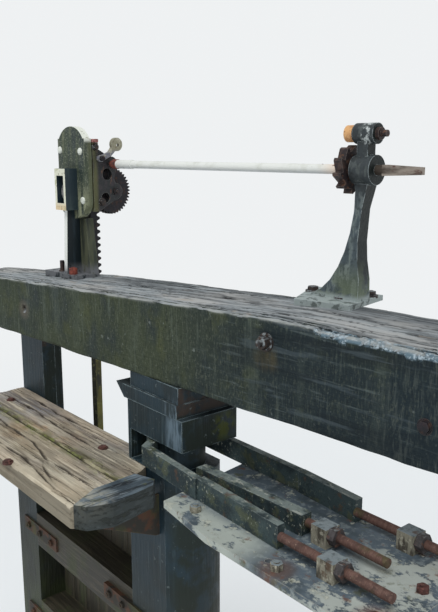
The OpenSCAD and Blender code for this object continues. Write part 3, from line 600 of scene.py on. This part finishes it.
def crackWalks(steps, cracks):
    # random walks along the grain, as a depth share for each slice and column they touch
    dice = random.Random(cracks["seed"])
    depth = {}
    for walk in range(cracks["count"]):
        start = dice.randrange(-10, steps[0])
        length = int(dice.triangular(*cracks["length"]))
        column = dice.randrange(2, steps[1] - 2)
        strength = dice.uniform(0.4, 1.0)
        for i in range(length):
            share = strength * math.sin(math.pi * (i + 0.7) / (length + 0.7)) ** 0.5
            beside = column if dice.random() > cracks["wander"] else column + dice.choice((-1, 1))
            for c in {column, beside}:
                depth[(start + i, c)] = max(depth.get((start + i, c), 0.0), share)
                column = c
    return depth


beam = {
    "steps": (470, 72, 24),
    "crowding": (0.06, 0.11),  # how far the slices crowd towards the edges, across and upward
    "topFallsBefore": 0.700,
    "fall": 0.044,
    "undersideRisesAfter": 1.700,
    "undersideRise": 0.090,
    "rearTapersAfter": 1.700,
    "rearTaper": 0.090,
    "mitreTaperBefore": -0.750,
    "mitreRear": 0.130,
    "chamferFrom": 0.880,
    "chamferRunOut": 0.050,
    "chamfer": 0.022,
    "chamferWaves": [(0.25, (14, 1, 1), (0, 0, 0))],
    "chamferPaint": (0.4, 1.15),  # painted from this share of its run-out, out to this many cuts
    "wear": 0.007,
    "wearWaves": [(1.2, (9, 9, 9), (0, 0, 0))],
    "topRim": 0.028,  # pale worn strip along the front edge, on top
    "frontRim": 0.012,
    "rearRim": 0.030,
    "rearWorn": 0.6,
    "slotWalls": (-1.019, -0.951),
    "slotBack": 0.195,
    "slotGap": 0.0005,
    "topWaves": [(0.0022, (4, 22, 0), (0, 0, 0)), (0.0012, (16, 90, 0), (0, 0, 3))],
    "underWaves": [(0.0022, (4, 22, 0), (0, 0, 9))],
    "frontWaves": [(0.0022, (5, 0, 12), (0, 5, 0)), (0.001, (60, 0, 30), (0, 7, 0))],
    "rearWaves": [(0.0022, (5, 0, 12), (0, 9, 0))],
    "crackDepth": 0.009,
    "crackShade": 1.6,
    "cracks": {"seed": 11, "count": 260, "length": (6, 70, 14), "wander": 0.22},
    "pegHole": (-1.101, 3.549),
    "pegRadius": (0.017, 0.008),  # at the face and at the bottom
    "pegShade": (0.018, 0.008),
    "pegDepth": 0.030,
}


def beamSlices(low, high):
    # cuts along the beam, with a close pair at each wall of the rod's slot
    length = high.x - low.x
    count = beam["steps"][0]
    slices = [low.x + length * i / count for i in range(count + 1)]
    walls = [round((wall - low.x) / length * count) for wall in beam["slotWalls"]]
    for i, wall in zip(walls, beam["slotWalls"]):
        slices[i] = wall - beam["slotGap"]
        slices[i + 1] = wall + beam["slotGap"]
    return slices, range(walls[0] + 1, walls[1] + 1)


def beamOutline(x, low, high):
    # the beam's rear, top and underside at x
    rear = high.y - beam["rearTaper"] * between(x, beam["rearTapersAfter"], high.x)
    rear = rear + (beam["mitreRear"] - rear) * between(x, beam["mitreTaperBefore"], low.x)
    top = high.z - beam["fall"] * max(0.0, beam["topFallsBefore"] - x)
    under = low.z + beam["undersideRise"] * between(x, beam["undersideRisesAfter"], high.x)
    return rear, top, under


def crowded(share, amount):
    return share - amount * math.sin(2 * math.pi * share)


def cutCorners(y, z, corners):
    # moves a point of the section in from each worn corner
    for a, b, signY, signZ, size in corners:
        if a + b < size:
            y += signY * (size - a - b) / 2
            z += signZ * (size - a - b) / 2
    return y, z


def makeBeam():
    low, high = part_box("balance_beam")
    steps = beam["steps"]
    bm = cutBlock(steps)
    layers = [bm.verts.layers.float.new(name) for name in ("crack", "worn", "chamfer", "hole")]
    crack, worn, chamfered, hole = layers
    depth = crackWalks(steps, beam["cracks"])
    slices, inSlot = beamSlices(low, high)
    for vert in bm.verts:
        i, j, k = [round(share * count) for share, count in zip(vert.co, steps)]
        x = slices[i]
        rear, top, under = beamOutline(x, low, high)
        if i in inSlot:
            rear = beam["slotBack"]
        y = low.y + (rear - low.y) * crowded(vert.co.y, beam["crowding"][0])
        z = under + (top - under) * crowded(vert.co.z, beam["crowding"][1])
        fromFront = y - low.y
        fromRear = rear - y
        fromTop = top - z
        fromUnder = z - under
        wear = beam["wear"] * (1.0 + rumple((x, y, z), beam["wearWaves"]))
        cut = wear
        if x > beam["chamferFrom"]:
            runOut = between(x, beam["chamferFrom"], beam["chamferFrom"] + beam["chamferRunOut"])
            cut = beam["chamfer"] * runOut * (1.0 + rumple((x, y, z), beam["chamferWaves"]))
            if runOut > beam["chamferPaint"][0] and fromFront + fromTop < cut * beam["chamferPaint"][1]:
                vert[chamfered] = 1.0
        if j > steps[1] / 2:
            vert[worn] = beam["rearWorn"] * fading(fromRear + fromTop, beam["rearRim"])
        elif k == steps[2]:
            vert[worn] = fading(max(fromFront, 0.0), beam["topRim"])
        else:
            vert[worn] = fading(fromTop, beam["frontRim"])
        y, z = cutCorners(y, z, [(fromFront, fromTop, 1, -1, cut), (fromRear, fromTop, -1, -1, wear),
                                 (fromFront, fromUnder, 1, 1, wear), (fromRear, fromUnder, -1, 1, wear)])
        if k == steps[2]:
            z += rumple((x, y, z), beam["topWaves"])
            share = depth.get((i, j), 0.0)
            z -= beam["crackDepth"] * share
            # mask for the painted shade, with dirt, inside the crack
            vert[crack] = min(1.0, share * beam["crackShade"])
        elif k == 0:
            z += rumple((x, y, z), beam["underWaves"])
        if j == 0:
            y += rumple((x, y, z), beam["frontWaves"])
            reach = math.hypot(x - beam["pegHole"][0], z - beam["pegHole"][1])
            y += beam["pegDepth"] * between(reach, *beam["pegRadius"])
            # mask for the painted shade inside the peg hole
            vert[hole] = between(reach, *beam["pegShade"])
        elif j == steps[1]:
            y -= rumple((x, y, z), beam["rearWaves"])
        vert.co = (x, y, z)
    bmesh.ops.recalc_face_normals(bm, faces=bm.faces)
    settle("weatheredBeam", bm, tarredBeam, "leaf", ["balance_beam"])


boards = {
    "thick": 0.100,
    "seam": -0.345,
    "seamGap": (0.016, 0.006),
    "seamShade": 0.91,
    "seamWaves": [(1.3, (11, 0, 0), (0, 6, 0))],
    "mossReach": 0.055,
    "wear": 0.009,
    "topWaves": [(0.004, (2.2, 26, 0), (0, 0, 0)), (0.002, (7, 80, 0), (0, 0, 4))],
    "sideWaves": [(0.002, (6, 0, 20), (0, 2, 0))],
    "crackDepth": 0.008,
    "crackShade": 1.6,
    "splitReach": 0.006,
    "splitDepth": 1.5,  # in depths of the deepest crack
    "splitEnds": (0.06, 0.12),  # each split narrows this far from its start and end
    "splitWaves": [(0.006, (13, 1, 0), (0, 0, 0)), (0.003, (50, 0, 0), (0, 1, 0))],
    "splitWidth": 0.75,
    "widthWaves": [(0.9, (9, 1, 0), (0, 0, 5))],
    "rear": {
        "steps": (230, 80, 5),
        "across": (-0.342, -0.060),
        "starts": [(-0.342, -1.515), (-0.060, -1.530)],
        "ends": [(-0.342, 0.004), (-0.255, -0.003), (-0.1635, -0.045), (-0.1625, -0.190), (-0.060, -0.190)],
        "cracks": {"seed": 5, "count": 40, "length": (8, 90, 26), "wander": 0.2},
        "splits": [[(-1.52, -0.22), (-1.10, -0.205), (-0.72, -0.23), (-0.40, -0.222)],
                   [(-1.30, -0.120), (-0.95, -0.132), (-0.55, -0.118)]],
    },
    "front": {
        "steps": (230, 80, 5),
        "across": (-0.632, -0.348),
        "starts": [(-0.632, -1.460), (-0.348, -1.513)],
        "ends": [(-0.632, 0.080), (-0.620, 0.092), (-0.471, 0.012), (-0.348, 0.004)],
        "cracks": {"seed": 8, "count": 40, "length": (8, 90, 26), "wander": 0.2},
        "splits": [[(-1.46, -0.400), (-0.95, -0.425), (-0.66, -0.430), (-0.42, -0.475), (-0.10, -0.462),
                    (0.00, -0.450)],
                   [(-1.20, -0.545), (-0.80, -0.560), (-0.50, -0.548), (-0.20, -0.590), (-0.08, -0.600)],
                   [(-0.44, -0.490), (-0.36, -0.530), (-0.16, -0.575)]],
    },
}


def splitShare(u, v, splits):
    # 1 on the line of a split, fading to 0 within its reach and towards both ends
    best = 0.0
    for line in splits:
        first, side = line[0]
        last = line[-1][0]
        if not first < u < last:
            continue
        middle = follow(line, u) + rumple((u, side, 0), boards["splitWaves"])
        fromStart, fromEnd = boards["splitEnds"]
        ends = between(u, first, first + fromStart) * between(u, last, last - fromEnd)
        width = ends * (boards["splitWidth"] + rumple((u, side, 0), boards["widthWaves"]))
        reach = boards["splitReach"] * (0.5 + width)
        best = max(best, width * (1.0 - abs(v - middle) / reach))
    return best


def makeBoard(bm, board):
    # u runs along the leaf and v across it
    steps = board["steps"]
    grid = cutBlock(steps)
    crack = grid.verts.layers.float.new("crack")
    seam = grid.verts.layers.float.new("seam")
    depth = crackWalks(steps, board["cracks"])
    fromV, toV = board["across"]
    columns = [fromV + (toV - fromV) * j / steps[1] for j in range(steps[1] + 1)]
    for corner in board["ends"][2:4]:  # so that a cut falls on each corner of the end
        nearest = min(range(len(columns)), key=lambda j: abs(columns[j] - corner[0]))
        columns[nearest] = corner[0]
    for vert in grid.verts:
        i, j, k = [round(share * count) for share, count in zip(vert.co, steps)]
        v = columns[j]
        start = follow(board["starts"], v)
        u = start + (follow(board["ends"], v) - start) * vert.co.x
        z = boardTop - boards["thick"] * (1.0 - vert.co.z)
        if k == steps[2]:
            split = boards["splitDepth"] * splitShare(u, v, board["splits"])
            share = max(depth.get((i, j), 0.0), split)
            z += rumple((u, v, z), boards["topWaves"])
            z -= boards["crackDepth"] * share
            z -= boards["wear"] * fading(min(v - fromV, toV - v), boards["wear"])
            # painted shade: the boards darken towards the seam between them, through the crack mask
            fromSeam = abs(v - boards["seam"])
            gap = boards["seamShade"] + rumple((u, v, z), boards["seamWaves"])
            gap *= between(fromSeam, *boards["seamGap"])
            vert[crack] = min(1.0, max(share * boards["crackShade"], gap))
            vert[seam] = fading(fromSeam, boards["mossReach"])
        if j in (0, steps[1]):
            v += rumple((u, v, z), boards["sideWaves"])
        vert.co = (u, v, z)
    bmesh.ops.recalc_face_normals(grid, faces=grid.faces)
    bmesh.ops.transform(grid, matrix=leafToFrame, verts=grid.verts)
    mesh = bpy.data.meshes.new("boardPart")
    grid.to_mesh(mesh)
    grid.free()
    bm.from_mesh(mesh)
    bpy.data.meshes.remove(mesh)


def makeWalkway():
    bm = bmesh.new()
    makeBoard(bm, boards["rear"])
    makeBoard(bm, boards["front"])
    settle("walkwayBoards", bm, boardWood, "leaf", ["walkway_plank"])


def standing(place, axis):
    # puts a shape made along Z on place, pointing along axis
    return Matrix.Translation(place) @ Vector(up).rotation_difference(Vector(axis)).to_matrix().to_4x4()


def roundEdges(bm, verts, offset):
    rims = {e for vert in verts for e in vert.link_edges}
    bmesh.ops.bevel(bm, geom=list(rims), offset=offset, offset_type="OFFSET", segments=2, profile=0.5,
                    affect="EDGES", material=-1)


boltShape = {
    "sunk": 0.004,
    "washerThick": 0.006,
    "washerTop": 0.95,  # this and the rest are shares of the washer's radius or the width across flats
    "bevel": 0.07,
    "stub": (0.3, 0.27),
}


def addBolt(bm, place, axis, turn, across, tall, washer=0.0, stub=0.0):
    # a bevelled hexagon, on a washer and with the bolt's end standing out where these are given
    stand = standing(place, axis) @ Matrix.Rotation(turn, 4, "Z")
    sunk = boltShape["sunk"]
    under = boltShape["washerThick"] if washer else 0.0

    def addRound(segments, radius, topRadius, low, high):
        middle = stand @ Matrix.Translation((0, 0, (high + low) / 2))
        made = bmesh.ops.create_cone(bm, cap_ends=True, segments=segments, radius1=radius,
                                     radius2=topRadius, depth=high - low, matrix=middle)
        return made["verts"]

    if washer:
        addRound(24, washer, washer * boltShape["washerTop"], -sunk, under)
    corner = across / math.sqrt(3)
    head = addRound(6, corner, corner, -sunk, under + tall)
    roundEdges(bm, head, across * boltShape["bevel"])
    if stub:
        wide, narrow = boltShape["stub"]
        addRound(16, across * wide, across * narrow, under, under + tall + stub)


def addDome(bm, place, axis, radius, tall):
    # a round head: a flattened ball that is half sunk
    flat = standing(place, axis) @ Matrix.Diagonal((1, 1, tall / radius, 1))
    bmesh.ops.create_uvsphere(bm, u_segments=16, v_segments=8, radius=radius, matrix=flat)


def settleBolts(name, finish, rows, body="leaf"):
    # one piece from rows of size, place, axis and turn
    bm = bmesh.new()
    for size, place, axis, turn in rows:
        addBolt(bm, place, axis, turn, **size)
    settle(name, bm, finish, body)


def onLeaf(u, v, z):
    return leafToFrame @ Vector((u, v, z))


def leafBox(name):
    # bounds of a CAD node set out along and across the leaf
    corners = [leafToFrame.inverted() @ vert.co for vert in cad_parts[name].data.vertices]
    return [Vector([pick(c[axis] for c in corners) for axis in range(3)]) for pick in (min, max)]


def addBar(bm, low, high, edge, matrix=Matrix()):
    # a straight bar between two corners, its edges rounded
    bar = bmesh.ops.create_cube(bm, size=1.0)["verts"]
    bmesh.ops.scale(bm, verts=bar, vec=Vector(high) - Vector(low))
    bmesh.ops.translate(bm, verts=bar, vec=(Vector(high) + Vector(low)) / 2)
    bmesh.ops.transform(bm, matrix=matrix, verts=bar)
    roundEdges(bm, bar, edge)


sheathing = {
    "port": (-1.1545, -0.8445),
    "portHeights": (0.410, 0.800),
    "boardWidth": 0.160,
    "seam": 0.0015,
    "edge": 0.004,
    "nailRows": (0.24, 0.93, 1.53, 2.12, 2.74),
    "nailInset": 0.035,
    "nailWander": [(0.020, (40, 9, 0), (0, 0, 0))],
    "nail": {"radius": 0.009, "tall": 0.004},
}


def makeSheathing():
    low, high = leafBox("sheathing")
    portLow, portHigh = sheathing["port"]
    toLeafRear = leafToFrame.to_3x3() @ Vector(toRear)
    bm = bmesh.new()
    nails = bmesh.new()
    for start, end in ((low.x, portLow), (portLow, portHigh), (portHigh, high.x)):
        count = round((end - start) / sheathing["boardWidth"])
        for n in range(count):
            left = start + (end - start) * n / count + sheathing["seam"]
            right = start + (end - start) * (n + 1) / count - sheathing["seam"]
            heights = [(low.z, high.z)]
            if start == portLow:
                heights = [(low.z, sheathing["portHeights"][0]), (sheathing["portHeights"][1], high.z)]
            for under, top in heights:
                addBar(bm, (left, low.y, under), (right, high.y, top), sheathing["edge"], leafToFrame)
            if start == portLow:
                continue
            for z in sheathing["nailRows"]:
                for u in (left + sheathing["nailInset"], right - sheathing["nailInset"]):
                    place = onLeaf(u, high.y, z + rumple((u, z, 0), sheathing["nailWander"]))
                    addDome(nails, place, toLeafRear, **sheathing["nail"])
    settle("sheathingBoards", bm, wetBoards, "leaf", ["sheathing"])
    settle("sheathingNails", nails, drownedIron, "leaf")


straps = {
    "thick": 0.012,
    "rows": (0.250, 0.935, 1.530, 2.125),
    "fromMitreEnd": (0.065, 0.210, 0.350),
    "fromHeelEnd": (0.325, 0.200, 0.060),
    "bolt": {"across": 0.036, "tall": 0.016, "stub": 0.006},
    "rodRows": (0.66, 0.76),
    "rodBolt": {"across": 0.026, "tall": 0.012, "stub": 0.005},
}


def makeStrapBolts():
    # bolts through the rail irons at both ends of the rails, and through the foot of the paddle's rod
    low, high = leafBox("rail_irons")
    strapFace = leafBox("middle_rail")[0].y - straps["thick"]
    spots = [(low.x + reach, strapFace) for reach in straps["fromMitreEnd"]]
    spots += [(high.x - reach, low.y) for reach in straps["fromHeelEnd"]]
    settleBolts("railIronBolts", drownedIron, [(straps["bolt"], onLeaf(u, v, z), toFront, u * 7)
                                               for z in straps["rows"] for u, v in spots])
    rodLow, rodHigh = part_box("paddle_rod")
    middle = (rodLow.x + rodHigh.x) / 2
    settleBolts("paddleRodBolts", drownedIron, [(straps["rodBolt"], (middle, rodHigh.y, z), toRear, z * 4)
                                                for z in straps["rodRows"]], "paddle_set")


keepBar = {
    "from": (-0.900, 0.155),
    "to": (-0.828, 0.178),
    "tall": 0.018,
    "edge": 0.004,
}


def makeKeepBar():
    # rusty bar on top of the bearing strip
    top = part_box("bearing_bracket")[1].z
    bm = bmesh.new()
    addBar(bm, (*keepBar["from"], top), (*keepBar["to"], top + keepBar["tall"]), keepBar["edge"])
    settle("stripKeepBar", bm, pinkRust, "leaf")


fixings = {
    "rivet": {"radius": 0.020, "tall": 0.009},
    "rivets": [(-1.091, 4.396), (-0.899, 4.389), (-0.888, 4.131)],
    "columnMiddle": -0.985,
    "columnFootThick": 0.024,
    "redFootBolt": {"across": 0.040, "tall": 0.034, "stub": 0.004},
    "redFoot": (-0.945, 0.066),
    "thinFootBolt": {"across": 0.024, "tall": 0.054, "washer": 0.020},
    "thinFoot": (-1.083, 0.085),
    "wideFootBolt": {"across": 0.036, "tall": 0.020, "washer": 0.028, "stub": 0.010},
    "wideFoot": (-1.155, 0.150),
    "handleEndBolt": {"across": 0.040, "tall": 0.012, "washer": 0.030},
    "handleEnd": (1.364, 3.537),
    "frontBolt": {"across": 0.048, "tall": 0.026, "washer": 0.038, "stub": 0.014},
    "front": (0.681, 3.688),
    "rearBolt": {"across": 0.046, "tall": 0.024, "washer": 0.040, "stub": 0.012},
    "rear": [(-0.95, 3.62), (-0.35, 3.60), (0.35, 3.60)],
    "pedestalFootThick": 0.022,
    "pedestalBolt": {"across": 0.044, "tall": 0.016, "washer": 0.034},
    "pedestal": [(0.528, 0.310), (0.709, 0.273), (0.560, 0.380), (0.765, 0.390)],
    "walkwayBolt": {"across": 0.036, "tall": 0.008, "washer": 0.027},
    "walkway": [(-0.559, -0.592), (-0.385, -0.169), (-1.32, -0.56), (-1.36, -0.13)],
    "redBedBolt": {"across": 0.040, "tall": 0.020, "stub": 0.006},
    "paleBedBolt": {"across": 0.042, "tall": 0.026, "stub": 0.004},
    "nutTall": 0.012,
    "nuts": [(0.306, 4.174, 0.020, 3.186), (0.211, 4.120, 0.030, 1.899), (0.176, 4.412, 0.026, 1.584)],
    "pressed": (0.002, 0.004),  # how far washers are pressed into the timber
}


def makeFixings():
    low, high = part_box("balance_beam")
    columnFoot = beamOutline(fixings["columnMiddle"], low, high)[1] + fixings["columnFootThick"]
    pedestalFoot = high.z + fixings["pedestalFootThick"]
    pressed, deeper = fixings["pressed"]

    bm = bmesh.new()
    for x, z in fixings["rivets"]:
        addDome(bm, (x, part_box("gear_front_plate")[0].y, z), toFront, **fixings["rivet"])
    settle("plateRivets", bm, whiteBolt, "leaf")

    def onFoot(spot, turn):
        return fixings[spot + "Bolt"], (*fixings[spot], columnFoot), up, turn

    settleBolts("redFootBolt", redBolt, [onFoot("redFoot", 0.4)])
    settleBolts("brownFootBolts", ratchetIron, [onFoot("thinFoot", 0.1), onFoot("wideFoot", 0.7)])

    x, z = fixings["handleEnd"]
    rows = [(fixings["handleEndBolt"], (x, low.y + deeper, z), toFront, 0.5)]
    settleBolts("handleEndBolt", gearIron, rows)

    x, z = fixings["front"]
    rows = [(fixings["frontBolt"], (x, low.y, z), toFront, 0.2)]
    rows += [(fixings["pedestalBolt"], (x, y, pedestalFoot), up, x * 3) for x, y in fixings["pedestal"]]
    rows += [(fixings["rearBolt"], (x, high.y - pressed, z), toRear, x) for x, z in fixings["rear"]]
    settleBolts("beamBolts", darkBolt, rows)

    settleBolts("walkwayBolts", rustyBolt, [(fixings["walkwayBolt"], (x, y, boardTop - pressed), up, x * 5)
                                            for x, y in fixings["walkway"]])
    settleBolts("redBedBolts", rustyBolt, [(fixings["redBedBolt"], onLeaf(u, v, coping), up, u * 4)
                                           for u, v in redBedSpots], "anchorage")
    settleBolts("paleBedBolts", flakedLug, [(fixings["paleBedBolt"], onLeaf(u, v, coping), up, u * 4)
                                            for u, v in paleBedSpots], "anchorage")

    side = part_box("bearing_bracket")[1].x
    rows = []
    for y, z, across, turn in fixings["nuts"]:
        size = {"across": across, "tall": fixings["nutTall"], "washer": across * 0.75}
        rows.append((size, (side, y, z), toHandle, turn))
    settleBolts("bracketNuts", darkBolt, rows)


studio = {
    "floor": (0.80, 0.82, 0.83),
    "floorReach": 60,
    "floorUnder": 0.002,
    "floorFade": (5.0, 16.0),  # from this far out the floor turns into the backdrop
    "backdrop": (0.86, 0.88, 0.89),
    "sky": (0.95, 0.98, 1.0),
    "skyLevel": 0.62,
    "sunLevel": 1.5,
    "sunSpread": 38,
    "sunFrom": (0.45, -0.75, 1.5),
    "eye": (2.52, -2.20, 4.40),
    "lens": 44.12,
    "lookDown": 11.8,
    "lookRound": 45.7,
}


def makeFloor():
    bm = bmesh.new()
    bmesh.ops.create_circle(bm, cap_ends=True, segments=96, radius=studio["floorReach"],
                            matrix=Matrix.Translation((0, 0, -studio["floorUnder"])))
    mesh = bpy.data.meshes.new("paleFloor")
    bm.to_mesh(mesh)
    bm.free()
    material = bpy.data.materials.new("paleFloor")
    material.use_nodes = True
    tree = material.node_tree
    shader = tree.nodes["Principled BSDF"]
    shader.inputs["Base Color"].default_value = studio["floor"] + (1,)
    shader.inputs["Roughness"].default_value = 0.9
    start = Wire(tree)
    place = start.make("ShaderNodeTexCoord", {}, {}, "Object")
    glow = start.make("ShaderNodeEmission", {}, {"Color": studio["backdrop"] + (1,), "Strength": 1.0})
    far = place.farFrom((0, 0, 0)).between(*studio["floorFade"])
    mixed = start.make("ShaderNodeMixShader", {}, {0: far, 1: Wire(tree, shader.outputs[0]), 2: glow})
    tree.links.new(mixed.socket, tree.nodes["Material Output"].inputs["Surface"])
    mesh.materials.append(material)
    floor = bpy.data.objects.new("paleFloor", mesh)
    bpy.context.scene.collection.objects.link(floor)


def makeStudio():
    scene = bpy.context.scene
    scene.view_settings.view_transform = "Standard"
    world = bpy.data.worlds.new("paleStudio")
    scene.world = world
    world.use_nodes = True
    tree = world.node_tree
    start = Wire(tree)
    light = start.make("ShaderNodeLightPath", {}, {}, "Is Camera Ray")
    sky = tree.nodes["Background"]
    sky.inputs["Color"].default_value = studio["sky"] + (1,)
    sky.inputs["Strength"].default_value = studio["skyLevel"]
    seen = start.make("ShaderNodeBackground", {}, {"Color": studio["backdrop"] + (1,), "Strength": 1.0})
    mixed = start.make("ShaderNodeMixShader", {}, {0: light, 1: Wire(tree, sky.outputs[0]), 2: seen})
    tree.links.new(mixed.socket, tree.nodes["World Output"].inputs["Surface"])
    lamp = bpy.data.lights.new("softSun", "SUN")
    lamp.energy = studio["sunLevel"]
    lamp.angle = math.radians(studio["sunSpread"])
    sun = bpy.data.objects.new("softSun", lamp)
    sun.rotation_euler = (-Vector(studio["sunFrom"])).to_track_quat("-Z", "Y").to_euler()
    scene.collection.objects.link(sun)
    lens = bpy.data.cameras.new("camera")
    lens.lens = studio["lens"]
    camera = bpy.data.objects.new("camera", lens)
    camera.location = studio["eye"]
    camera.rotation_euler = (math.radians(90 - studio["lookDown"]), 0, math.radians(studio["lookRound"]))
    scene.collection.objects.link(camera)
    scene.camera = camera


makeStudio()
makeFloor()
print("studio ready")
makeBeam()
print("beam made")
makeWalkway()
print("walkway made")
makeSheathing()
makeStrapBolts()
makeKeepBar()
print("leaf boards and bolts made")
makeFixings()
print("fixings made")
